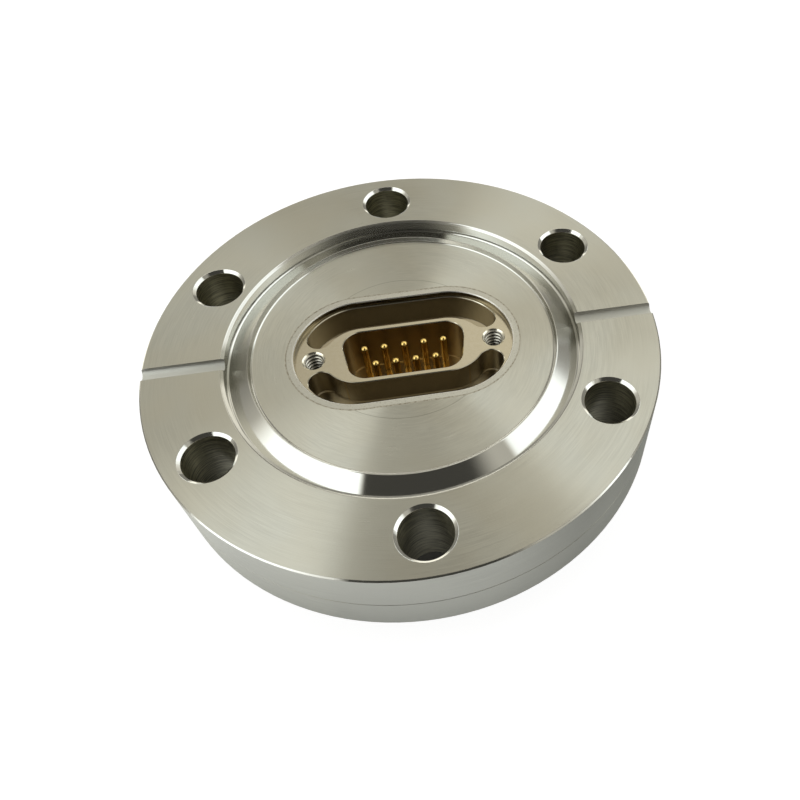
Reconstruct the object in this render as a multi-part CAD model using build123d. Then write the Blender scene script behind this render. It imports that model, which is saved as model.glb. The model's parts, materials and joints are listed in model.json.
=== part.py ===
from build123d import *
from math import cos, hypot, radians, tan
import os

# Vacuum feedthrough: a six-bolt knife-edge flange with a milled insert welded into it.
# The insert carries nine round contacts in glass seals, inside a D-shaped plug shell.
# Millimetres. Z = 0 is the flange's front face on the vacuum side, and +Z points into the
# vacuum. X runs along the leak-check grooves and along the rows of contacts.

# Flange. Its rings are placed one inside the other, from the rim inward.
flange_diameter = 70.0
flange_thickness = 12.7
front_edge_break = 0.2
back_edge_break = 0.25
bolt_to_rim = 5.65              # puts the bolt holes' centres on a 58.7 circle
bolt_count = 6
first_bolt_angle = 30.0
bolt_hole_diameter = 6.7
bolt_hole_chamfer = 0.4
rim_line_depth = 6.8            # scored line round the rim, measured down from the front
rim_line_width = 0.16
leak_groove_radius = 1.0        # ball-nosed cutter
leak_groove_depth = 0.8

# Gasket recess and knife edge
recess_to_bolt = 5.2            # from the recess wall, 48.3 across, to the bolt holes' centres
recess_depth = 1.65
recess_edge_width = 0.3         # shallow break where the face meets the recess wall
recess_edge_drop = 0.12
recess_floor_width = 0.3        # flat ring between the wall and the cone
knife_to_recess = 3.12          # puts the knife edge's tip on a 42.06 circle
knife_tip_depth = 0.28
knife_inner_lean = 0.23         # how far the knife's inner side comes inward, down to the inner face
inner_face_depth = 0.85

# Insert
insert_length = 32.2
insert_width = 20.1
weld_lip_height = 1.6           # the lip fills the flange's hole, and is what is welded
slip_clearance = 0.05           # each side, below the lip
seam_chamfer = 0.1              # on both sides of the welded seam
rim_width = 1.0
rim_height = 0.93               # from the milled floor up to the inner face
rim_inner_chamfer = 0.12
boss_edge_break = 0.3
face_edge_chamfer = 0.1         # on the mouths of the cavity and the pockets

# D-shaped plug shell
shell_inner_length = 16.92
shell_inner_width = 8.36
shell_corner_radius = 2.6
shell_side_angle = 10.0
shell_wall = 0.69
cavity_depth = 7.62             # below the milled floor
floor_corner_bevel = 0.15       # where the walls of the cavity and the pockets meet their floors

# Pockets that free the two long sides of the shell
pocket_depth = 4.32             # below the milled floor
pocket_ledge = 0.2              # flat left between a pocket and the rim
pocket_end_radius = 1.7
pocket_end_x = 11.62
pocket_end_gap = 0.53           # from the screw's countersink to the pocket's end
pocket_shoulder_x = 5.9         # where the straight wall of the shell starts to turn out
shoulder_step_drop = 0.3        # step that a second cutter pass left in the far pocket
shoulder_step_x = 7.7
shoulder_step_y = -0.45
shoulder_step_radius = 4.96     # on the right
shoulder_step_left = 4.72       # on the left, where the step is thinner

# Jackscrew holes
screw_spacing = 24.99
screw_thread_diameter = 2.845   # outer diameter of the thread
screw_thread_length = 5.2
screw_countersink_diameter = 3.2
drill_point_angle = 118.0

# Contacts and their glass seals
pin_diameter = 1.02
pin_tip_chamfer = 0.3
pin_tip_drop = 0.22             # how far the tips lie below the milled floor
pin_pitch = 2.77
row_pitch = 2.84
long_row_count = 5
short_row_count = 4
web_thickness = 2.6             # wall between the two cavities, which the seals close
seal_diameter = 1.6

down = (0, 0, -1)
rim_radius = flange_diameter / 2
bolt_circle_radius = rim_radius - bolt_to_rim
recess_radius = bolt_circle_radius - recess_to_bolt
knife_radius = recess_radius - knife_to_recess
inner_face_z = -inner_face_depth
insert_face_z = inner_face_z - rim_height
web_top_z = insert_face_z - cavity_depth
middle_z = web_top_z - web_thickness / 2
screw_x = screw_spacing / 2


def polygon_with_arcs(*pieces):
    """Face inside a closed run of lines and arcs."""
    return make_face(Curve() + list(pieces))


def flange_section():
    """Half section of the turned flange, before anything is milled or drilled."""
    rim = rim_radius
    recess = recess_radius
    line_half = rim_line_width / 2
    outline = Polyline(
        (0, inner_face_z),
        (knife_radius - knife_inner_lean, inner_face_z),
        (knife_radius, -knife_tip_depth),
        (recess - recess_floor_width, -recess_depth),
        (recess, -recess_depth),
        (recess, -recess_edge_drop),
        (recess + recess_edge_width, 0),
        (rim - front_edge_break, 0),
        (rim, -front_edge_break),
        (rim, -rim_line_depth + line_half),
        (rim - line_half, -rim_line_depth),
        (rim, -rim_line_depth - line_half),
        (rim, -flange_thickness + back_edge_break),
        (rim - back_edge_break, -flange_thickness),
        (0, -flange_thickness),
        close=True,
    )
    return Plane.XZ * make_face(outline)


def bolt_hole():
    """Cutter for one clearance hole, chamfered at both faces."""
    radius = bolt_hole_diameter / 2
    flare = 2 * bolt_hole_chamfer
    hole = Cylinder(radius, flange_thickness)
    mouth = Cone(radius, radius + flare, flare)
    cutter = Pos(0, 0, -flange_thickness / 2) * hole
    cutter += mouth
    cutter += Pos(0, 0, -flange_thickness) * Rot(180, 0, 0) * mouth
    return cutter


def leak_grooves():
    """Round-bottomed grooves from the recess to the rim, on both sides along X."""
    inner = recess_radius - recess_floor_width / 2
    length = rim_radius - inner + leak_groove_radius
    groove = Rot(0, 90, 0) * Cylinder(leak_groove_radius, length)
    height = leak_groove_radius - leak_groove_depth
    return [Pos(side * (inner + length / 2), 0, height) * groove for side in (1, -1)]


def insert_hole():
    """Obround hole through the flange, with a small chamfer at the welded seam."""
    outline = SlotOverall(insert_length, insert_width)
    mouth = offset(outline, seam_chamfer)
    cutter = Pos(0, 0, -flange_thickness) * extrude(outline, flange_thickness)
    seam = loft([Pos(0, 0, inner_face_z - seam_chamfer) * outline, Pos(0, 0, inner_face_z) * mouth])
    return cutter + seam


def flange():
    """Knife-edge flange."""
    body = revolve(flange_section(), Axis.Z)
    ring = PolarLocations(bolt_circle_radius, bolt_count, start_angle=first_bolt_angle)
    body -= [place * bolt_hole() for place in ring]
    body -= leak_grooves()
    return body - insert_hole()


def shell_outline():
    """D outline of the plug shell's cavity: wide along +Y, its sides leaning in toward -Y."""
    slope = radians(shell_side_angle)
    half_width = shell_inner_width / 2
    corner_growth = shell_corner_radius * (tan(slope) + 1 / cos(slope) - 1)
    wide = shell_inner_length / 2 + corner_growth
    narrow = wide - shell_inner_width * tan(slope)
    corners = [(-wide, half_width), (wide, half_width), (narrow, -half_width), (-narrow, -half_width)]
    sharp = Polygon(*corners, align=None)
    return fillet(sharp.vertices(), shell_corner_radius)


def tangent_arcs(start, end_centre, end_radius, inside):
    """Radius of an arc that leaves start along X, bends toward the end circle and touches it.

    The arc holds the end circle inside itself, or passes it by on the outside.
    """
    run = end_centre[0] - start[0]
    rise = start[1] - end_centre[1]
    if inside:
        return (run**2 + rise**2 - end_radius**2) / (2 * (rise - end_radius))
    return (run**2 + rise**2 - end_radius**2) / (2 * (rise + end_radius))


def point_towards(centre, other, distance):
    """Point at a distance from centre, on the way to other."""
    gap = hypot(other[0] - centre[0], other[1] - centre[1])
    share = distance / gap
    return (centre[0] + (other[0] - centre[0]) * share, centre[1] + (other[1] - centre[1]) * share)


def pocket_outline():
    """Outline of the pocket beside the shell's wide side.

    Its outer wall follows the rim, turns into a round end beside the jackscrew hole, and comes
    back along an S onto the shell's straight wall.
    """
    outer_y = insert_width / 2 - rim_width - pocket_ledge
    inner_y = shell_inner_width / 2 + shell_wall
    turn_x = (insert_length - insert_width) / 2
    end_y = screw_countersink_diameter / 2 + pocket_end_gap + pocket_end_radius
    end = (pocket_end_x, end_y)
    outer_radius = tangent_arcs((turn_x, outer_y), end, pocket_end_radius, True)
    outer_centre = (turn_x, outer_y - outer_radius)
    shoulder_radius = tangent_arcs((pocket_shoulder_x, inner_y), end, pocket_end_radius, False)
    shoulder_centre = (pocket_shoulder_x, inner_y - shoulder_radius)
    outer_touch = point_towards(outer_centre, end, outer_radius)
    shoulder_touch = point_towards(end, shoulder_centre, pocket_end_radius)
    end_tip = (end[0] + pocket_end_radius * cos(radians(-45)), end[1] - pocket_end_radius * cos(radians(45)))
    outer_middle = point_towards(outer_centre, middle_of((turn_x, outer_y), outer_touch), outer_radius)
    shoulder_start = (pocket_shoulder_x, inner_y)
    shoulder_aim = middle_of(shoulder_touch, shoulder_start)
    shoulder_middle = point_towards(shoulder_centre, shoulder_aim, shoulder_radius)
    half = [
        Line((0, outer_y), (turn_x, outer_y)),
        ThreePointArc((turn_x, outer_y), outer_middle, outer_touch),
        ThreePointArc(outer_touch, end_tip, shoulder_touch),
        ThreePointArc(shoulder_touch, shoulder_middle, shoulder_start),
        Line(shoulder_start, (0, inner_y)),
        Line((0, inner_y), (0, outer_y)),
    ]
    right = polygon_with_arcs(*half)
    return right + mirror(right, about=Plane.YZ)


def middle_of(a, b):
    """Middle of two points."""
    return ((a[0] + b[0]) / 2, (a[1] + b[1]) / 2)


def shoulder_steps():
    """Two low steps that a second cutter pass left along the pocket's S-shaped wall."""
    height = pocket_depth - shoulder_step_drop
    right = Circle(shoulder_step_radius)
    left = Circle(shoulder_step_left)
    steps = Pos(shoulder_step_x, shoulder_step_y) * right
    steps += Pos(-shoulder_step_x, shoulder_step_y) * left
    return Pos(0, 0, -pocket_depth) * extrude(steps, height)


def screw_hole():
    """Cutter for one blind jackscrew hole: countersink, threaded stretch and drill point."""
    radius = screw_thread_diameter / 2
    mouth = screw_countersink_diameter / 2
    sink = mouth - radius
    point = radius / tan(radians(drill_point_angle / 2))
    outline = Polyline(
        (0, 0),
        (mouth, 0),
        (radius, -sink),
        (radius, -sink - screw_thread_length),
        (0, -sink - screw_thread_length - point),
        close=True,
    )
    return revolve(Plane.XZ * make_face(outline), Axis.Z)


def milled(outline, depth):
    """Cutter of one outline, with the small bevel that the mill's corner leaves round the floor."""
    cutter = extrude(outline, depth, dir=down)
    floor = cutter.faces().sort_by(Axis.Z)[0]
    return chamfer(floor.edges(), floor_corner_bevel)


def face_cuts(stepped):
    """Everything that is milled into one face of the insert below its floor."""
    cavity = milled(shell_outline(), cavity_depth)
    far = milled(pocket_outline(), pocket_depth)
    near = mirror(far, about=Plane.XZ)
    if stepped:
        far -= shoulder_steps()
    screws = [Pos(side * screw_x, 0, 0) * screw_hole() for side in (1, -1)]
    return [cavity, far, near, *screws]


def contact_places():
    """Centres of the nine contacts: the long row first, then the short row."""
    places = [((i - (long_row_count - 1) / 2) * pin_pitch, row_pitch / 2) for i in range(long_row_count)]
    places += [((i - (short_row_count - 1) / 2) * pin_pitch, -row_pitch / 2) for i in range(short_row_count)]
    return places


def broken_mouths(block, face_z):
    """The block with a small chamfer on the mouth of each cut in one face."""
    face = block.faces().filter_by(Plane.XY).sort_by(lambda f: abs(f.center().Z - face_z))[0]
    wires = face.inner_wires()
    mouths = [edge for wire in wires for edge in wire.edges() if wire.length > screw_spacing]
    return chamfer(mouths, face_edge_chamfer)


def half_insert(stepped):
    """Half of the insert, from the middle of its web up to its rim, with Z = 0 at its floor."""
    half_height = cavity_depth + web_thickness / 2
    body = SlotOverall(insert_length - 2 * slip_clearance, insert_width - 2 * slip_clearance)
    block = Pos(0, 0, -half_height) * extrude(body, half_height)
    block -= face_cuts(stepped)
    return broken_mouths(block, 0)


def rim(outer, outer_chamfer):
    """Raised rim round one face of the insert."""
    inner = SlotOverall(insert_length - 2 * rim_width, insert_width - 2 * rim_width)
    ring = extrude(outer, rim_height) - extrude(inner, rim_height)
    top = ring.faces().sort_by(Axis.Z)[-1]
    ring = chamfer(top.outer_wire().edges(), outer_chamfer)
    top = ring.faces().sort_by(Axis.Z)[-1]
    return chamfer(top.inner_wires()[0].edges(), rim_inner_chamfer)


def connector_insert():
    """Milled insert: weld lip, two open faces and the web that the seals pass through."""
    lip_outline = SlotOverall(insert_length, insert_width)
    body_outline = SlotOverall(insert_length - 2 * slip_clearance, insert_width - 2 * slip_clearance)
    vacuum_half = half_insert(True) + rim(lip_outline, seam_chamfer)
    lip_depth = weld_lip_height - rim_height
    lip_band = extrude(lip_outline, lip_depth, dir=down) - extrude(body_outline, lip_depth, dir=down)
    vacuum_half += lip_band
    air_half = half_insert(False) + rim(body_outline, boss_edge_break)
    floor_to_middle = insert_face_z - middle_z
    body = Pos(0, 0, floor_to_middle) * vacuum_half
    body += mirror(Pos(0, 0, floor_to_middle) * air_half, about=Plane.XY)
    bore = Cylinder(seal_diameter / 2, web_thickness)
    body -= [Pos(x, y, 0) * bore for x, y in contact_places()]
    return Pos(0, 0, middle_z) * body


def contact_pin(x, y):
    """One round contact, the same length on both sides of the web, with chamfered tips."""
    half_length = insert_face_z - pin_tip_drop - middle_z
    pin = Cylinder(pin_diameter / 2, 2 * half_length)
    pin = chamfer(pin.edges().filter_by(GeomType.CIRCLE), pin_tip_chamfer)
    return Pos(x, y, middle_z) * pin


def glass_seal(x, y):
    """Glass ring that fills its bore in the web round one contact."""
    ring = Cylinder(seal_diameter / 2, web_thickness) - Cylinder(pin_diameter / 2, web_thickness)
    return Pos(x, y, middle_z) * ring


def build():
    """Every piece, by the name of its node."""
    pieces = {"flange": flange(), "connector_insert": connector_insert()}
    for number, (x, y) in enumerate(contact_places(), start=1):
        pieces[f"contact_pin_{number}"] = contact_pin(x, y)
        pieces[f"glass_seal_{number}"] = glass_seal(x, y)
    return pieces


os.makedirs("parts", exist_ok=True)
for name, piece in build().items():
    export_step(piece, f"parts/{name}.step")
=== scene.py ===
import json
import math

import bmesh
import bpy
import numpy as np
from mathutils import Matrix, Vector


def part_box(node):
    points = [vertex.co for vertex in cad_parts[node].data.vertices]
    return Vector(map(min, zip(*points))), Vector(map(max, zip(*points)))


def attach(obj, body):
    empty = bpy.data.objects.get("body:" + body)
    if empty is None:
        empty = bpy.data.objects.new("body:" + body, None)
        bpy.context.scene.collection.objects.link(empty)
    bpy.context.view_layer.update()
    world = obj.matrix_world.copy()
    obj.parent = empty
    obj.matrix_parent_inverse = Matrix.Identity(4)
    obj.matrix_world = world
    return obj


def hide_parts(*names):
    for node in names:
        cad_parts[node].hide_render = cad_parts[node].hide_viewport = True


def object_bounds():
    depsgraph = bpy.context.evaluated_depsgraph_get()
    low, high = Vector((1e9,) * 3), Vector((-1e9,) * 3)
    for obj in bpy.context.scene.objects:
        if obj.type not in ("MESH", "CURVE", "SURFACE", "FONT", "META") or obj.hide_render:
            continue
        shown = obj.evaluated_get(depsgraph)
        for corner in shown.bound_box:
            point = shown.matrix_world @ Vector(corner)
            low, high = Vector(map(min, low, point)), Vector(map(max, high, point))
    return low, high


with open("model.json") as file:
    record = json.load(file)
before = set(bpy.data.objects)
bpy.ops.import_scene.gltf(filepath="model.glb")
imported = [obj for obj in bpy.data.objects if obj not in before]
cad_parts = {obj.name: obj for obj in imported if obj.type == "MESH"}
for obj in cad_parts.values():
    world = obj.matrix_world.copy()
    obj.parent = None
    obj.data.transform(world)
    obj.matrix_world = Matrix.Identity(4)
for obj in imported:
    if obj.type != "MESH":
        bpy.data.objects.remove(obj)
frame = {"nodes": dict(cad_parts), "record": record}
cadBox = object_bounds()
print("frame loaded:", len(frame["nodes"]), "nodes")

mm = 0.001  # the scene is in metres, and sizes below are written as millimetres times mm
slack = 0.01 * mm  # how far a mask stands off the edge it follows
joinDistance = 0.0001 * mm  # points of a new piece that are nearer than this are joined
black = (0.0, 0.0, 0.0)
white = (1.0, 1.0, 1.0)
mounts = {mount["name"]: mount for mount in frame["record"]["mounts"]}
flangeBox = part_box("flange")
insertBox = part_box("connector_insert")
rimRadius = flangeBox[1].x
frontZ = flangeBox[1].z
backZ = flangeBox[0].z
boltCircle = mounts["bolt_circle"]["dims"]["pcd_mm"] / 2 * mm
boltRadius = mounts["bolt_circle"]["dims"]["hole_r_mm"] * mm
boltCount = mounts["bolt_circle"]["dims"]["count"]
insertTop = insertBox[1].z
insertHalfWidth = insertBox[1].y
insertStraight = insertBox[1].x - insertBox[1].y  # half the length of the outline's straight sides
milledFloor = mounts["vacuum_connector"]["pos_m"][2]
airFloor = mounts["air_connector"]["pos_m"][2]
jackscrewX = mounts["vacuum_jackscrew_right"]["pos_m"][0]


# Shader maths: a Value is one socket, and an expression on Values adds Math nodes.
class Value:
    def __init__(self, finish, socket):
        self.finish = finish
        self.socket = socket

    def of(self, name):  # another output of the same node
        return Value(self.finish, self.socket.node.outputs[name])

    def __add__(self, other):
        return self.finish.math("ADD", self, other)

    def __sub__(self, other):
        return self.finish.math("SUBTRACT", self, other)

    def __rsub__(self, other):
        return self.finish.math("SUBTRACT", other, self)

    def __mul__(self, other):
        return self.finish.math("MULTIPLY", self, other)

    def __truediv__(self, other):
        return self.finish.math("DIVIDE", self, other)

    def __abs__(self):
        return self.finish.math("ABSOLUTE", self)

    def __lt__(self, other):
        return self.finish.math("LESS_THAN", self, other)

    def __gt__(self, other):
        return self.finish.math("GREATER_THAN", self, other)

    __radd__ = __add__
    __rmul__ = __mul__


# The nodes of one material, or of the world.
class Finish:
    def __init__(self, owner):
        owner.use_nodes = True
        self.owner = owner
        self.tree = owner.node_tree
        self.tree.nodes.clear()

    def node(self, kind, settings, inputs, output=0):  # its type, then its settings, then its sockets
        made = self.tree.nodes.new(kind)
        for name, value in settings.items():
            setattr(made, name, value)
        for key, value in inputs.items():
            socket = made.inputs[key]
            if isinstance(value, Value):
                self.tree.links.new(value.socket, socket)
            elif socket.type == "RGBA":
                socket.default_value = (*value, 1.0)
            else:
                socket.default_value = value
        return Value(self, made.outputs[output]) if made.outputs else made

    def math(self, operation, *values):
        return self.node("ShaderNodeMath", {"operation": operation}, dict(enumerate(values)))

    def step(self, value, low, high):  # 0 below low, 1 above high, smooth between them
        ends = {"Value": value, "From Min": low, "From Max": high}
        return self.node("ShaderNodeMapRange", {"interpolation_type": "SMOOTHSTEP"}, ends)

    def past(self, value, middle, soft):  # 0 below middle, 1 above it, smooth for soft on either side
        return self.step(value, middle - soft, middle + soft)

    def vector(self, x, y, z):
        return self.node("ShaderNodeCombineXYZ", {}, {0: x, 1: y, 2: z})

    def noise(self, vector, scale=1.0, detail=2.0):  # about 0.5, in a range of 0 to 1
        return self.node("ShaderNodeTexNoise", {}, {"Vector": vector, "Scale": scale, "Detail": detail})

    def tint(self, mask, a, b):  # colour a where the mask is 0, b where it is 1
        return self.node("ShaderNodeMix", {"data_type": "RGBA"}, {0: mask, 6: a, 7: b}, 2)

    def cover(self, mask, a, b):  # surface a where the mask is 0, b where it is 1
        return self.node("ShaderNodeMixShader", {}, {0: mask, 1: a, 2: b})

    def relief(self, height, depth=1.0):  # height is in metres where depth is left at 1
        return self.node("ShaderNodeBump", {}, {"Height": height, "Distance": depth})

    def place(self):  # x, y and z in metres, in the part's own frame
        coords = self.node("ShaderNodeTexCoord", {}, {}, "Object")
        x = self.node("ShaderNodeSeparateXYZ", {}, {0: coords})
        return x, x.of("Y"), x.of("Z")

    def metal(self, colour, roughness, normal, grain=0.0, turn=0.0):
        sockets = {"Base Color": colour, "Metallic": 1.0, "Roughness": roughness, "Normal": normal}
        sockets.update({"Anisotropic": grain, "Anisotropic Rotation": turn})
        return self.node("ShaderNodeBsdfPrincipled", {}, sockets)

    def done(self, surface):
        isWorld = isinstance(self.owner, bpy.types.World)
        kind = "ShaderNodeOutputWorld" if isWorld else "ShaderNodeOutputMaterial"
        self.node(kind, {}, {"Surface": surface})
        return self.owner


def newFinish(name):
    return Finish(bpy.data.materials.new(name))


def across(finish, x, y):  # distance from the origin in a plane
    return finish.math("SQRT", x * x + y * y)


def obroundDistance(finish, x, y):  # distance from the line between the centres of the insert's round ends
    beyond = finish.math("MAXIMUM", abs(x) - insertStraight, 0.0)
    return across(finish, beyond, y)


turned = {
    "colour": (0.51, 0.505, 0.448),
    "warmColour": (0.51, 0.495, 0.425),
    "cloudScale": 90.0,
    "cloudRange": (0.35, 0.65),  # where the noise starts to show, and where it shows in full
    # painted reflection: the rim is tinted cooler and darker than the faces
    "rimReflectionTint": (0.475, 0.482, 0.435),
    "roughness": 0.30,
    "cloudRoughness": 0.08,
    "markRoughness": 0.10,
    "grain": 1.0,  # how far the turning marks stretch a highlight, and which way, as a share of a turn
    "grainTurn": 0.25,
    "markDepth": 0.014 * mm,
    "markSpacing": 0.22 * mm,
    "fineShare": 0.4,  # of that spacing, for the finer marks
    "markTurns": 4.0,  # how fast the marks change along the circle
    "fineTurns": 9.0,
    "markShade": 0.10,
    "markRange": (0.36, 0.64),
    "patchScale": 60.0,  # the marks show in patches
    "patchRange": (0.35, 0.6),
    "scoreColour": (0.19, 0.185, 0.15),  # a scored circle round the insert
    "scoreRadius": 12.4 * mm,
    "scoreHalf": 0.04 * mm,
    "scoreSoft": 0.03 * mm,
    "scoreShare": 0.6,
    "edgeBreak": 0.2 * mm,
    "edgeRoughness": 0.08,
    "edgeMarks": 0.001 * mm,
    "edgeLean": 0.42,  # shades the rim's front edge, and the bolt holes' chamfers, as if they were flatter
    "chamferLean": 0.36,
    "chamfer": 0.42 * mm,
}

bore = {
    # painted light: brighter than the faces' steel, so the bolt holes look lit inside
    "colour": (0.72, 0.70, 0.56),
    "shade": 0.5,
    "range": (0.35, 0.65),
    "roughness": 0.32,
    "spacing": 0.16 * mm,
    "depth": 0.02 * mm,
}

# Each pair of radii bounds a curve in the shading: from the inner face up to the knife edge, over its tip,
# from the floor of the recess up to its wall, and from there over to the outer face.
recess = {
    "colour": (0.66, 0.658, 0.618),
    "inner": 20.58 * mm,
    "outer": 24.62 * mm,
    "lowest": -2 * mm,  # the height that its finish goes down to
    "roughness": 0.09,
    "markDepth": 0.0005 * mm,
    "satinShadeColour": (0.36, 0.355, 0.31),  # painted shade: darker where the leak-check grooves open on it, hiding their reflection
    "satinRoughness": 0.14,
    "satinStart": 2 * mm,
    "satinEnd": 4.5 * mm,
    "foot": (20.48 * mm, 20.82 * mm),
    "tip": (21.0 * mm, 21.17 * mm),
    "tipShare": 0.33,
    "ring": (23.80 * mm, 24.14 * mm),
    "lip": (24.42 * mm, 24.66 * mm),
    "lipShare": 0.65,
    "curveDrop": 0.14 * mm,
}

groove = {
    "colour": (0.66, 0.655, 0.60),
    "roughness": 0.34,
    "half": 0.99 * mm,
    "inner": 24.17 * mm,
    "lowest": -0.85 * mm,
    "radius": 1 * mm,
    "flatness": 0.5,  # 0 shades the bottom as round as it is, and 0.5 as about flat
    "cutLength": 1.2 * mm,
    "cutSpacing": 0.05 * mm,
    "cutDepth": 0.001 * mm,
}


# The flange. Turning marks follow circles round Z: noise that is stretched along the circle, and is
# fine across it.
def turnedSteel():
    steel = newFinish("turned_steel_finish")
    x, y, z = steel.place()
    r = across(steel, x, y)
    place = steel.vector(x, y, z)
    profile = r - z  # runs on across the faces, down the rim and along the cone
    slowTurns = turned["markTurns"]
    fineTurns = turned["fineTurns"]
    fineSpacing = turned["fineShare"] * turned["markSpacing"]
    slow = steel.vector(x / r * slowTurns, y / r * slowTurns, profile / turned["markSpacing"])
    fine = steel.vector(x / r * fineTurns, y / r * fineTurns, profile / fineSpacing)
    marks = steel.noise(slow, detail=3.0) * 0.5 + steel.noise(fine, detail=1.0) * 0.5
    clouds = steel.noise(place, turned["cloudScale"])
    patches = steel.noise(place, turned["patchScale"], 1.0)
    colour = steel.tint(steel.step(clouds, *turned["cloudRange"]), turned["colour"], turned["warmColour"])
    # Painted reflection: the rim gets a cooler, darker tint than the faces.
    isRim = (r > rimRadius - 2 * slack) * (z < frontZ - turned["edgeBreak"])
    colour = steel.tint(isRim, colour, turned["rimReflectionTint"])
    fromScore = abs(r - turned["scoreRadius"])
    score = (1 - steel.past(fromScore, turned["scoreHalf"], turned["scoreSoft"])) * (z > backZ / 2)
    colour = steel.tint(score * turned["scoreShare"], colour, turned["scoreColour"])
    shade = steel.step(marks, *turned["markRange"]) * steel.step(patches, *turned["patchRange"])
    colour = steel.tint(shade * turned["markShade"], colour, black)
    roughness = turned["roughness"] + (marks - 0.5) * turned["markRoughness"]
    roughness = roughness + (clouds - 0.5) * turned["cloudRoughness"]
    foot = steel.step(r, *recess["foot"]) - 1
    ring = steel.step(r, *recess["ring"]) - 1
    tip = (steel.step(r, *recess["tip"]) - 1) * recess["tipShare"]
    lip = (steel.step(r, *recess["lip"]) - 1) * recess["lipShare"]
    curves = (foot + ring + tip + lip) * (z > backZ / 2) * recess["curveDrop"]
    faceRelief = steel.relief(marks * turned["markDepth"] + curves)
    surface = steel.metal(colour, roughness, faceRelief, turned["grain"], turned["grainTurn"])

    # Distance from the nearest bolt hole's axis: the angle is folded into one sector.
    sector = 2 * math.pi / boltCount
    angle = steel.math("WRAP", steel.math("ARCTAN2", y, x), 0.0, sector) - sector / 2
    px = r * steel.math("COSINE", angle) - boltCircle
    py = r * steel.math("SINE", angle)
    fromBolt = across(steel, px, py)
    boring = steel.noise(steel.vector(px / fromBolt, py / fromBolt, z / bore["spacing"]), detail=3.0)
    # Painted light: the bores are brighter than the faces, with darker boring marks.
    boreMarksAndLightColour = steel.tint(steel.step(boring, *bore["range"]) * bore["shade"], bore["colour"], black)
    wall = steel.metal(boreMarksAndLightColour, bore["roughness"], steel.relief(boring, bore["depth"]))
    fineMarks = marks * turned["edgeMarks"]
    chamferRelief = steel.relief(fineMarks - fromBolt * turned["chamferLean"])
    chamfer = steel.metal(recess["colour"], turned["edgeRoughness"], chamferRelief)
    hole = steel.cover(fromBolt < boltRadius + 2 * slack, chamfer, wall)
    surface = steel.cover(fromBolt < boltRadius + turned["chamfer"], surface, hole)

    # The rim's broken front edge, and the recess between the inner face and the outer one, are polished.
    atEdge = (r > rimRadius - turned["edgeBreak"] + slack) * (z > frontZ - turned["edgeBreak"] + slack)
    edgeRelief = steel.relief(fineMarks + r * turned["edgeLean"])
    edge = steel.metal(recess["colour"], turned["edgeRoughness"], edgeRelief)
    surface = steel.cover(atEdge, surface, edge)
    # Painted shade: the recess is darker, and rougher, where the leak-check grooves open on it.
    satinAndShade = 1 - steel.step(abs(y), recess["satinStart"], recess["satinEnd"])
    shineAndShadeColour = steel.tint(satinAndShade, recess["colour"], recess["satinShadeColour"])
    shineRoughness = satinAndShade * recess["satinRoughness"] + recess["roughness"]
    shineRelief = steel.relief(marks * recess["markDepth"] + curves)
    shine = steel.metal(shineAndShadeColour, shineRoughness, shineRelief, turned["grain"], turned["grainTurn"])
    inRecess = (r > recess["inner"]) * (r < recess["outer"]) * (z > recess["lowest"])
    surface = steel.cover(inRecess, surface, shine)

    inGroove = (abs(y) < groove["half"]) * (r > groove["inner"]) * (z > groove["lowest"])
    spacing = groove["cutSpacing"]
    cut = steel.noise(steel.vector(x / groove["cutLength"], y / spacing, z / spacing))
    flatter = y * y * (-groove["flatness"] / groove["radius"])
    grooveRelief = steel.relief(cut * groove["cutDepth"] + flatter)
    channel = steel.metal(groove["colour"], groove["roughness"], grooveRelief, turned["grain"])
    return steel.done(steel.cover(inGroove, surface, channel))


milled = {
    "colour": (0.455, 0.41, 0.305),
    "warmColour": (0.47, 0.425, 0.325),
    "roughness": 0.2,
    "markDepth": 0.0012 * mm,
    "swirlWidth": 0.5 * mm,
    "swirlHeight": 1.6 * mm,
    "swirlRange": (0.3, 0.7),
    "deepShadeColour": (0.36, 0.31, 0.215),  # painted shade: the walls of the pockets, and of the cavity, are darker
    # painted shade and reflection: the cavity is browner, as if it mirrored the gold contacts
    "cavityShadeColour": (0.37, 0.29, 0.165),
    "deepRoughness": 0.34,
    "deepMarkDepth": 0.00024 * mm,
    "edgeBreak": 0.13 * mm,  # the walls' finish starts this far below the face, under its broken edge
    "cavityHalfX": 8.6 * mm,
    "cavityHalfY": 4.3 * mm,
    "edgeHighlightColour": (0.74, 0.70, 0.575),  # painted highlight: a lighter colour on the pockets' and the cavity's broken edges, and the countersinks
    "edgeStart": 0.01 * mm,
    "edgeEnd": 0.105 * mm,
    "edgeRoughness": 0.14,
    "sinkRadius": 1.605 * mm,
    "sinkLean": 0.36,  # shades the countersinks as if they were flatter
}

lip = {
    "width": 1.0 * mm,
    "topReach": 0.2 * mm,  # its top is this near to the insert's highest point
    "colour": (0.49, 0.48, 0.425),
    "roughness": 0.36,
    "scuffColour": (0.20, 0.18, 0.14),
    "scuffShare": 0.45,
    "scuffSize": 0.2 * mm,
    "scuffHeight": 1 * mm,
    "scuffRange": (0.55, 0.72),
    "scuffRoughness": 0.2,
    "scuffDepth": 0.008 * mm,
    "lineHighlightColour": (0.85, 0.84, 0.79),  # a painted highlight: the bright line along its inner edge
    "lineWidth": 0.15 * mm,
    "wallShadeColour": (0.07, 0.06, 0.04),  # painted shade: its inner wall is near black, with fine level lines
    "wallRoughness": 0.16,
    "wallDepth": 0.004 * mm,
    "wallSpacing": 0.16 * mm,
    "wallLength": 4 * mm,
    "wallRange": (0.35, 0.65),
}
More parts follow.
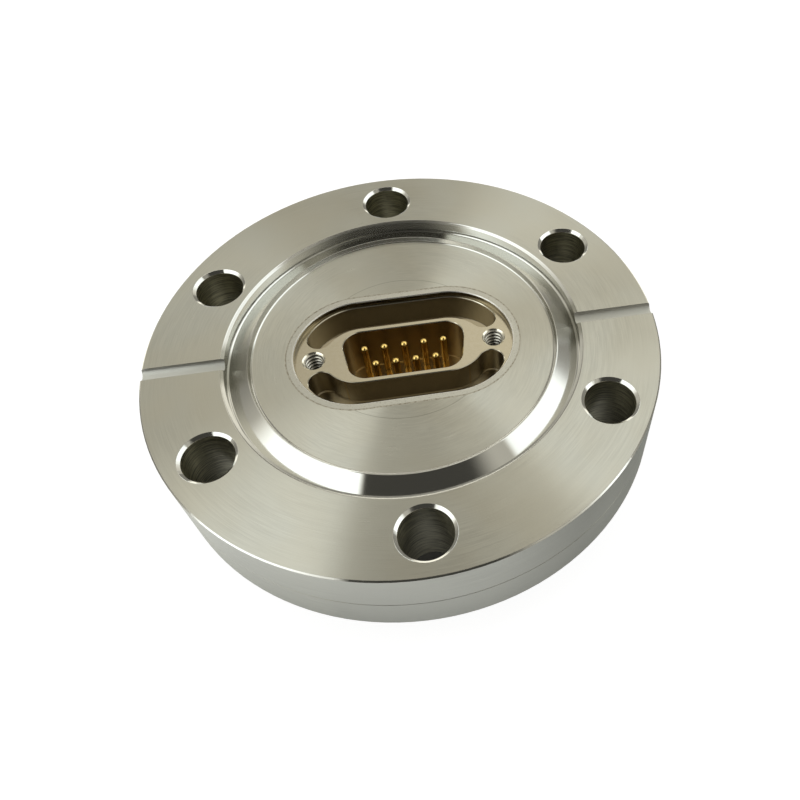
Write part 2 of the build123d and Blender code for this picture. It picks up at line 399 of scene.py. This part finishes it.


# The insert: swirling milling marks, painted shade on the walls of its pockets and cavity, painted
# highlights on its broken edges, and the lip that is welded.
def milledSteel():
    steel = newFinish("milled_steel_finish")
    x, y, z = steel.place()
    outward = obroundDistance(steel, x, y)
    wide = milled["swirlWidth"]
    swirl = steel.noise(steel.vector(x / wide, y / wide, z / milled["swirlHeight"]), detail=3.0)
    colour = steel.tint(steel.step(swirl, *milled["swirlRange"]), milled["colour"], milled["warmColour"])
    faces = steel.metal(colour, milled["roughness"], steel.relief(swirl, milled["markDepth"]))
    # Painted shade: the pockets' walls are darker, and the cavity is browner.
    inCavity = (abs(x) < milled["cavityHalfX"]) * (abs(y) < milled["cavityHalfY"])
    deepShadeColour = steel.tint(inCavity, milled["deepShadeColour"], milled["cavityShadeColour"])
    deep = steel.metal(deepShadeColour, milled["deepRoughness"], steel.relief(swirl, milled["deepMarkDepth"]))
    isDeep = (z < milledFloor - milled["edgeBreak"]) * (z > airFloor + milled["edgeBreak"])
    surface = steel.cover(isDeep, faces, deep)

    inLip = outward < insertHalfWidth - lip["width"] + slack
    isWall = inLip * (z < insertTop - milled["edgeBreak"]) * (z > milledFloor + 2 * slack)
    fromFloor = steel.math("MINIMUM", abs(z - milledFloor), abs(z - airFloor))
    # Painted highlight: the broken edges and the countersinks are lighter.
    isEdge = (fromFloor > milled["edgeStart"]) * (fromFloor < milled["edgeEnd"]) * (1 - isWall)
    fromScrew = across(steel, abs(x) - jackscrewX, y)
    isSink = fromScrew < milled["sinkRadius"]
    edgeRelief = steel.relief(swirl * milled["markDepth"] - isSink * fromScrew * milled["sinkLean"])
    edge = steel.metal(milled["edgeHighlightColour"], milled["edgeRoughness"], edgeRelief)
    surface = steel.cover(steel.math("MAXIMUM", isEdge, isSink), surface, edge)

    # Painted shade: the lip's inner wall is near black, with fine level lines.
    length = lip["wallLength"]
    lines = steel.noise(steel.vector(x / length, y / length, z / lip["wallSpacing"]), detail=1.0)
    wallShadeColour = steel.tint(steel.step(lines, *lip["wallRange"]), milled["deepShadeColour"], lip["wallShadeColour"])
    wall = steel.metal(wallShadeColour, lip["wallRoughness"], steel.relief(lines, lip["wallDepth"]))
    surface = steel.cover(isWall, surface, wall)
    isTop = (outward > insertHalfWidth - lip["width"]) * (abs(z - insertTop) < lip["topReach"])
    scuffSize = lip["scuffSize"]
    scuff = steel.noise(steel.vector(x / scuffSize, y / scuffSize, z / lip["scuffHeight"]), detail=3.0)
    # Painted highlight: a bright line along the lip's inner edge.
    isHighlightLine = outward < insertHalfWidth - lip["width"] + lip["lineWidth"]
    topColour = steel.tint(isHighlightLine, lip["colour"], lip["lineHighlightColour"])
    isScuff = steel.step(scuff, *lip["scuffRange"]) * lip["scuffShare"]
    topColour = steel.tint(isScuff, topColour, lip["scuffColour"])
    topRoughness = lip["roughness"] + (scuff - 0.5) * lip["scuffRoughness"]
    top = steel.metal(topColour, topRoughness, steel.relief(scuff, lip["scuffDepth"]))
    return steel.done(steel.cover(isTop, surface, top))


tapped = {
    "colour": (0.74, 0.71, 0.62),
    "roughness": 0.35,
    "tornWidth": 0.15 * mm,
    "tornHeight": 0.05 * mm,
    "tornDepth": 0.006 * mm,
    # painted shade: near black in the thread's roots
    "rootShadeColour": (0.05, 0.045, 0.035),
    "rootStart": 1.16 * mm,
    "rootEnd": 1.34 * mm,
    "mouth": 0.45 * mm,  # down to this depth nothing is dark
}


def threadSteel():
    steel = newFinish("thread_finish")
    x, y, z = steel.place()
    wide = tapped["tornWidth"]
    torn = steel.noise(steel.vector(x / wide, y / wide, z / tapped["tornHeight"]))
    fromAxis = across(steel, abs(x) - jackscrewX, y)
    mouth = (z > milledFloor - tapped["mouth"]) + (z < airFloor + tapped["mouth"])
    # Painted shade: the colour darkens towards the thread's roots, below the mouths.
    root = steel.step(fromAxis, tapped["rootStart"], tapped["rootEnd"]) * (1 - mouth)
    colour = steel.tint(root, tapped["colour"], tapped["rootShadeColour"])
    return steel.done(steel.metal(colour, tapped["roughness"], steel.relief(torn, tapped["tornDepth"])))


gold = {
    "colour": (0.82, 0.58, 0.19),
    "roughness": 0.13,
    "streakWidth": 0.12 * mm,
    "streakLength": 3 * mm,
    "streakRoughness": 0.1,
    "streakDepth": 0.003 * mm,
}


def goldPlate():
    plate = newFinish("gold_plate_finish")
    x, y, z = plate.place()
    wide = gold["streakWidth"]
    streaks = plate.noise(plate.vector(x / wide, y / wide, z / gold["streakLength"]))
    roughness = gold["roughness"] + (streaks - 0.5) * gold["streakRoughness"]
    return plate.done(plate.metal(gold["colour"], roughness, plate.relief(streaks, gold["streakDepth"])))


glass = {
    "colour": (0.030, 0.024, 0.018),
    "speckColour": (0.05, 0.045, 0.04),
    "speckScale": 4000.0,
    "roughness": 0.12,
    "index": 1.5,
}


def sealGlass():
    melt = newFinish("seal_glass_finish")
    x, y, z = melt.place()
    specks = melt.noise(melt.vector(x, y, z), glass["speckScale"])
    colour = melt.tint(specks, glass["colour"], glass["speckColour"])
    sockets = {"Base Color": colour, "Roughness": glass["roughness"], "IOR": glass["index"]}
    return melt.done(melt.node("ShaderNodeBsdfPrincipled", {}, sockets))


threadFinish = threadSteel()
goldFinish = goldPlate()
glassFinish = sealGlass()
frame["nodes"]["flange"].material_slots[0].material = turnedSteel()
frame["nodes"]["connector_insert"].material_slots[0].material = milledSteel()
print("finishes made")


# A closed sheet of quads from a grid of points, rows by columns by 3. The columns always close on
# themselves, and the rows do too unless closeRows is off. A turn of more than sharp degrees is an edge.
def gridPiece(name, points, material, closeRows=True, sharp=40):
    rows, columns = points.shape[:2]
    index = np.arange(rows * columns).reshape(rows, columns)
    below = np.roll(index, -1, axis=0)
    corners = np.stack([index, np.roll(index, -1, axis=1), np.roll(below, -1, axis=1), below], axis=-1)
    if not closeRows:
        corners = corners[:-1]
    mesh = bpy.data.meshes.new(name)
    mesh.from_pydata(points.reshape(-1, 3).tolist(), [], corners.reshape(-1, 4).tolist())
    work = bmesh.new()
    work.from_mesh(mesh)
    bmesh.ops.remove_doubles(work, verts=work.verts, dist=joinDistance)
    bmesh.ops.recalc_face_normals(work, faces=work.faces)
    work.to_mesh(mesh)
    work.free()
    mesh.shade_smooth()
    mesh.set_sharp_from_angle(angle=math.radians(sharp))
    mesh.materials.append(material)
    piece = bpy.data.objects.new(name, mesh)
    bpy.context.scene.collection.objects.link(piece)
    return piece


# Points round a vertical axis: x = centre x + radius cos a, y = centre y + radius sin a, z = height.
def ringPoints(centre, radius, height, angle):
    x = centre[0] + radius * np.cos(angle)
    y = centre[1] + radius * np.sin(angle)
    return np.stack([x, y, height + 0 * x], axis=-1)


def circle(sides):  # the angles of one turn, as a row
    return np.linspace(0, 2 * np.pi, sides, endpoint=False)[None, :]


contact = {"domeHeight": 0.36 * mm, "domeSteps": 9, "sides": 40}


# Contact: a straight shaft between two domes. At lift a, from 0 to a right angle, a dome's point is at
# radius cos a from the axis and at dome height sin a above the shaft.
def makeContact(number):
    low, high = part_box(f"contact_pin_{number}")
    radius = (high.x - low.x) / 2
    lift = np.linspace(0, np.pi / 2, contact["domeSteps"])
    dome = np.stack([radius * np.cos(lift), contact["domeHeight"] * np.sin(lift)], axis=-1)
    top = dome + [0, high.z - contact["domeHeight"]]
    bottom = dome[::-1] * [1, -1] + [0, low.z + contact["domeHeight"]]
    profile = np.concatenate([bottom, top])
    points = ringPoints((low + high) / 2, profile[:, :1], profile[:, 1:], circle(contact["sides"]))
    piece = gridPiece(f"contact_{number}", points, goldFinish, closeRows=False)
    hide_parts(f"contact_pin_{number}")
    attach(piece, "root")


seal = {"sag": 0.12 * mm, "steps": 9, "sides": 40}


# Seal: a glass ring whose two faces sag between the contact, at t = 0, and the bore, at t = 1, by
# sag times 4 t (1 - t).
def makeSeal(number):
    low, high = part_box(f"glass_seal_{number}")
    pinLow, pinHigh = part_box(f"contact_pin_{number}")
    t = np.linspace(0, 1, seal["steps"])
    inner = (pinHigh.x - pinLow.x) / 2
    radius = inner + ((high.x - low.x) / 2 - inner) * t
    sag = seal["sag"] * 4 * t * (1 - t)
    top = np.stack([radius, high.z - sag], axis=-1)
    bottom = np.stack([radius, low.z + sag], axis=-1)[::-1]
    profile = np.concatenate([top, bottom])
    points = ringPoints((low + high) / 2, profile[:, :1], profile[:, 1:], circle(seal["sides"]))
    piece = gridPiece(f"seal_{number}", points, glassFinish)
    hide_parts(f"glass_seal_{number}")
    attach(piece, "root")


contactCount = len([name for name in frame["nodes"] if name.startswith("contact_pin_")])
for number in range(1, contactCount + 1):
    makeContact(number)
    makeSeal(number)
print("contacts and seals made:", contactCount)


thread = {
    "pitch": 0.635 * mm,
    "crestRadius": 1.10 * mm,
    "gap": 0.004 * mm,  # from the ridges' outer side to the bore they stand in
    "flatShare": 0.12,  # of half the pitch that is flat, on the crest and in the root
    "countersinkRadius": 1.6 * mm,
    "steps": 176,
    "sides": 64,
}


# Thread ridges in one jackscrew hole. At angle a and depth d the phase is d / pitch - a / (2 pi), and
# the radius is a flattened triangle wave of it, cut back near the mouth by the 45-degree countersink.
def makeThread(name):
    mount = mounts[name]
    up = mount["axis"][2]
    rootRadius = mount["dims"]["r_mm"] * mm - thread["gap"]
    run = mount["dims"]["length_mm"] * mm
    faceZ = milledFloor if up > 0 else airFloor
    start = abs(faceZ - mount["pos_m"][2]) - run / 2
    depth = np.linspace(start, start + run, thread["steps"])[:, None]
    angle = circle(thread["sides"])
    phase = (depth / thread["pitch"] - angle / (2 * np.pi)) % 1.0
    wave = np.abs(2 * phase - 1)
    flat = thread["flatShare"]
    ridge = np.clip((wave - flat) / (1 - 2 * flat), 0, 1)
    radius = rootRadius - (rootRadius - thread["crestRadius"]) * ridge
    radius = np.clip(np.maximum(radius, thread["countersinkRadius"] - depth), None, rootRadius)
    inner = ringPoints(mount["pos_m"], radius, faceZ - up * depth, angle)
    ends = np.array([start + run, start])[:, None]
    outer = ringPoints(mount["pos_m"], rootRadius + thread["gap"] / 2 + 0 * ends, faceZ - up * ends, angle)
    points = np.concatenate([inner, outer])
    piece = gridPiece(name + "_thread", points, threadFinish, sharp=60)
    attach(piece, "root")


for name, mount in mounts.items():
    if mount["kind"] == "threaded_hole":
        makeThread(name)
print("threads made")


weld = {
    "colour": (0.40, 0.38, 0.32),
    "grimeColour": (0.26, 0.235, 0.185),
    "grimeSize": 0.4 * mm,
    "grimeDepth": 0.006 * mm,
    "grimeRange": (0.45, 0.6),
    "roughness": 0.3,
    "width": 0.20 * mm,
    "height": -0.01 * mm,  # below 0 the bead is hollow
    "depth": 0.12 * mm,
    "ripple": 0.26 * mm,
    "rippleHeight": 0.01 * mm,
    "rippleArch": 0.35,
    "wander": 0.0075 * mm,
    "waves": ((37, 0.0), (83, 1.3), (151, 0.4)),  # how often each goes round, and where it starts
    "steps": 1400,
    "acrossSteps": 9,
}


# Weld bead along the insert's outline. At distance s the outline's centre x and its outward angle are both
# straight-line functions of s between the corners. The bead is a parabola across it, with arched ripples,
# and wanders to either side by the sum of three sine waves.
def makeWeld():
    steel = newFinish("weld_finish")
    x, y = steel.place()[:2]
    grime = steel.noise(steel.vector(x / weld["grimeSize"], y / weld["grimeSize"], 0.0), detail=4.0)
    colour = steel.tint(steel.step(grime, *weld["grimeRange"]), weld["colour"], weld["grimeColour"])
    steel.done(steel.metal(colour, weld["roughness"], steel.relief(grime, weld["grimeDepth"])))
    side = 2 * insertStraight
    bend = math.pi * insertHalfWidth
    corners = np.cumsum([0, side, bend, side, bend])
    s = np.linspace(0, corners[-1], weld["steps"], endpoint=False)[:, None]
    heading = np.radians(np.interp(s, corners, [90, 90, 270, 270, 450]))
    middleX = np.interp(s, corners, np.array([1, -1, -1, 1, 1]) * insertStraight)
    turn = 2 * np.pi * s / corners[-1]
    wander = weld["wander"] * sum(np.sin(count * turn + shift) for count, shift in weld["waves"])
    t = np.linspace(-1, 1, weld["acrossSteps"])[None, :]
    ripple = weld["rippleHeight"] * np.sin(2 * np.pi * (s / weld["ripple"] + weld["rippleArch"] * t * t))
    top = (weld["height"] + ripple) * (1 - t * t)
    bottom = -weld["depth"] + 0 * top
    offset = np.concatenate([weld["width"] / 2 * t, weld["width"] / 4 * t[:, ::-1]], axis=1) + wander
    radius = insertHalfWidth + offset
    height = insertTop + np.concatenate([top, bottom], axis=1)
    points = np.stack([middleX + radius * np.cos(heading), radius * np.sin(heading), height], axis=-1)
    piece = gridPiece("weld_bead", points, steel.owner, sharp=80)
    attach(piece, "root")


makeWeld()
print("weld made")


floorLook = {
    "radius": 4.0,  # metres
    "colour": (0.25, 0.25, 0.25),
    "glow": 0.92,
    "mirroredGlow": 1.0,
    "shadeInner": 28.5 * mm,  # under the part the glow is left out: a painted shadow
    "shadeOuter": 30.5 * mm,
    "mirroredInner": 33 * mm,  # the glow that the steel mirrors rises between these, and dims to the right: painted light and shade in its reflection
    "mirroredOuter": 49.5 * mm,
    "dimStart": 10 * mm,
    "dimEnd": 57 * mm,
    "dimShare": 0.93,
    "sides": 96,
}


# A pale round sheet under the part.
def makeFloor():
    paper = newFinish("floor_finish")
    x, y = paper.place()[:2]
    r = across(paper, x, y)
    path = paper.node("ShaderNodeLightPath", {}, {}, "Is Camera Ray")
    # Painted shadow: the glow that the camera sees is left out under the part. Painted light and shade: the
    # glow that the steel mirrors rises outwards and dims to the right.
    straight = path * paper.step(r, floorLook["shadeInner"], floorLook["shadeOuter"]) * floorLook["glow"]
    bounced = paper.math("MAXIMUM", path.of("Is Glossy Ray"), path.of("Is Transmission Ray"))
    bounced = bounced * paper.step(r, floorLook["mirroredInner"], floorLook["mirroredOuter"])
    dim = paper.step(x, floorLook["dimStart"], floorLook["dimEnd"]) * floorLook["dimShare"]
    bounced = bounced * (1 - dim)
    seen = paper.math("MAXIMUM", straight, bounced * floorLook["mirroredGlow"])
    matt = paper.node("ShaderNodeBsdfDiffuse", {}, {"Color": floorLook["colour"]})
    glow = paper.node("ShaderNodeEmission", {}, {"Strength": seen})
    paper.done(paper.node("ShaderNodeAddShader", {}, {0: matt, 1: glow}))
    edge = ringPoints((0.0, 0.0), floorLook["radius"], cadBox[0].z, circle(floorLook["sides"]))[0]
    mesh = bpy.data.meshes.new("floor")
    mesh.from_pydata(edge.tolist(), [], [list(range(len(edge)))])
    mesh.materials.append(paper.owner)
    floor = bpy.data.objects.new("floor", mesh)
    bpy.context.scene.collection.objects.link(floor)


makeFloor()


# A box is a flat shape overhead. Its edges are in units of its height above the part: outwards to its
# own side, and along, which is backwards from the camera. Directions and heights of the rest are in degrees.
studio = {
    "leftBox": {
        "side": -1, "inner": 0.32, "innerSoft": 0.03, "innerTilt": 0.32, "outer": 1.64, "outerSoft": 0.13,
        "front": -0.59, "frontSoft": 0.21, "back": 0.53, "backSoft": 0.33, "backTilt": 0.13,
        "levelInner": 1.86, "levelOuter": 2.0,
    },
    "rightBox": {
        "side": 1, "inner": 0.49, "innerSoft": 0.04, "innerTilt": 0.66, "outer": 1.36, "outerSoft": 0.05,
        "front": -0.34, "frontSoft": 0.14, "back": 0.53, "backSoft": 0.40, "backTilt": -0.79,
        "levelInner": 1.53, "levelOuter": 1.95,
    },
    "tiltStart": 0.2,
    "levelStart": 0.3,
    "levelEnd": 1.4,
    "boxColour": (0.96, 1.0, 1.0),
    "roomColour": (1.0, 0.965, 0.85),
    "room": 0.605,
    "lowRoom": {"level": 0.29, "start": 20, "end": 34},
    "backGain": {"middle": 74.9, "half": 25, "soft": 20, "gain": 0.85},
    "sideGain": {"middle": 22.4, "half": 28.7, "soft": 20, "gain": -0.48},
    "dark": 0.065,
    "gap": {"middle": -100.5, "half": 19.7, "soft": 14.9, "grow": 53.5, "growStart": 30, "growEnd": 75},
    "ceilingStart": 69,
    "ceilingEnd": 81.5,
    "frontGap": {"middle": -78, "half": 47, "soft": 4, "top": 26, "topSoft": 6},
    "horizon": {"level": 1.3, "start": 5, "end": 10},
    "leastHeight": 0.03,
}


# Soft studio light as a picture of the directions it comes from: two soft boxes overhead, left and right,
# a pale room, brighter behind, and a dark gap in front that widens upwards, which the steel mirrors.
def makeStudio():
    scene = bpy.context.scene
    scene.world = bpy.data.worlds.new("studio")
    sky = Finish(scene.world)
    coords = sky.node("ShaderNodeTexCoord", {}, {}, "Generated")
    x = sky.node("ShaderNodeSeparateXYZ", {}, {0: coords})
    y = x.of("Y")
    z = x.of("Z")
    lift = sky.math("ARCSINE", z) * math.degrees(1)
    height = sky.math("MAXIMUM", z, studio["leastHeight"])
    along = y / height

    def turnFrom(middle):  # degrees round from a direction, either way
        cosine = math.cos(math.radians(middle))
        sine = math.sin(math.radians(middle))
        sideways = y * cosine - x * sine
        return abs(sky.math("ARCTAN2", sideways, x * cosine + y * sine)) * math.degrees(1)

    def within(side):  # 1 in a range of directions round about, 0 outside it
        return 1 - sky.past(turnFrom(side["middle"]), side["half"], side["soft"])

    def gained(side):  # a side of the room that is brighter or darker
        return 1 + side["gain"] * within(side)

    def softBox(box):  # where the box is, and how bright it is there
        out = x / height * box["side"]
        tilted = along + (out - studio["tiltStart"]) * box["backTilt"]
        mask = sky.past(out + along * box["innerTilt"], box["inner"], box["innerSoft"])
        mask = mask * (1 - sky.past(out, box["outer"], box["outerSoft"]))
        mask = mask * sky.past(along, box["front"], box["frontSoft"])
        mask = mask * (1 - sky.past(tilted, box["back"], box["backSoft"]))
        rise = sky.step(out, studio["levelStart"], studio["levelEnd"])
        return mask, box["levelInner"] + (box["levelOuter"] - box["levelInner"]) * rise

    low = studio["lowRoom"]
    wall = studio["room"] * gained(studio["backGain"]) * gained(studio["sideGain"])
    wall = low["level"] + (wall - low["level"]) * sky.step(lift, low["start"], low["end"])
    horizon = studio["horizon"]
    wall = wall + (1 - sky.step(lift, horizon["start"], horizon["end"])) * horizon["level"]
    gap = studio["gap"]
    gapHalf = gap["half"] + gap["grow"] * sky.step(lift, gap["growStart"], gap["growEnd"])
    bright = sky.past(turnFrom(gap["middle"]) - gapHalf, 0, gap["soft"])
    bright = bright * (1 - sky.step(lift, studio["ceilingStart"], studio["ceilingEnd"]))
    front = studio["frontGap"]
    bright = bright * (1 - within(front) * (1 - sky.past(lift, front["top"], front["topSoft"])))
    room = studio["dark"] + (wall - studio["dark"]) * bright
    leftMask, leftLevel = softBox(studio["leftBox"])
    rightMask, rightLevel = softBox(studio["rightBox"])
    level = room * (1 - leftMask) * (1 - rightMask) + leftMask * leftLevel + rightMask * rightLevel
    path = sky.node("ShaderNodeLightPath", {}, {}, "Is Camera Ray")
    seen = sky.math("MAXIMUM", path, path.of("Is Transmission Ray"))
    level = level * (1 - seen) + seen
    colour = sky.tint(leftMask + rightMask, studio["roomColour"], studio["boxColour"])
    colour = sky.tint(seen, colour, white)
    sky.done(sky.node("ShaderNodeBackground", {}, {"Color": colour, "Strength": level}))
    scene.view_settings.view_transform = "Standard"


makeStudio()
print("floor and studio made")


view = {
    "azimuth": -8.357,  # degrees round from the front
    "elevation": 54.342,
    "roll": -1.233,
    "distance": 103.967 * mm,
    "slideX": -13.26 * mm,  # how far the part's origin is right of the camera's axis, and how far above it
    "slideY": 9.414 * mm,
    "focalPixels": 760.791,
    "imagePixels": 800,
    "sensor": 36.0,
    "shiftX": -0.125,
    "shiftY": 0.01158,
    "clipStart": 1 * mm,
    "clipEnd": 20.0,  # metres
}


def makeCamera():
    azimuth = math.radians(view["azimuth"])
    elevation = math.radians(view["elevation"])
    roll = math.radians(view["roll"])
    outwards = Vector((math.sin(azimuth), -math.cos(azimuth), 0))
    back = outwards * math.cos(elevation) + Vector((0, 0, math.sin(elevation)))
    level = Vector((math.cos(azimuth), math.sin(azimuth), 0))
    upright = back.cross(level)
    right = level * math.cos(roll) + upright * math.sin(roll)
    up = upright * math.cos(roll) - level * math.sin(roll)
    data = bpy.data.cameras.new("camera")
    data.sensor_width = view["sensor"]
    data.lens = view["focalPixels"] / view["imagePixels"] * view["sensor"]
    data.shift_x = view["shiftX"]
    data.shift_y = view["shiftY"]
    data.clip_start = view["clipStart"]
    data.clip_end = view["clipEnd"]
    camera = bpy.data.objects.new("camera", data)
    spot = back * view["distance"] - right * view["slideX"] - up * view["slideY"]
    turn = Matrix((right, up, back)).transposed().to_4x4()
    camera.matrix_world = Matrix.Translation(spot) @ turn
    bpy.context.scene.collection.objects.link(camera)
    bpy.context.scene.camera = camera


makeCamera()
print("camera made")
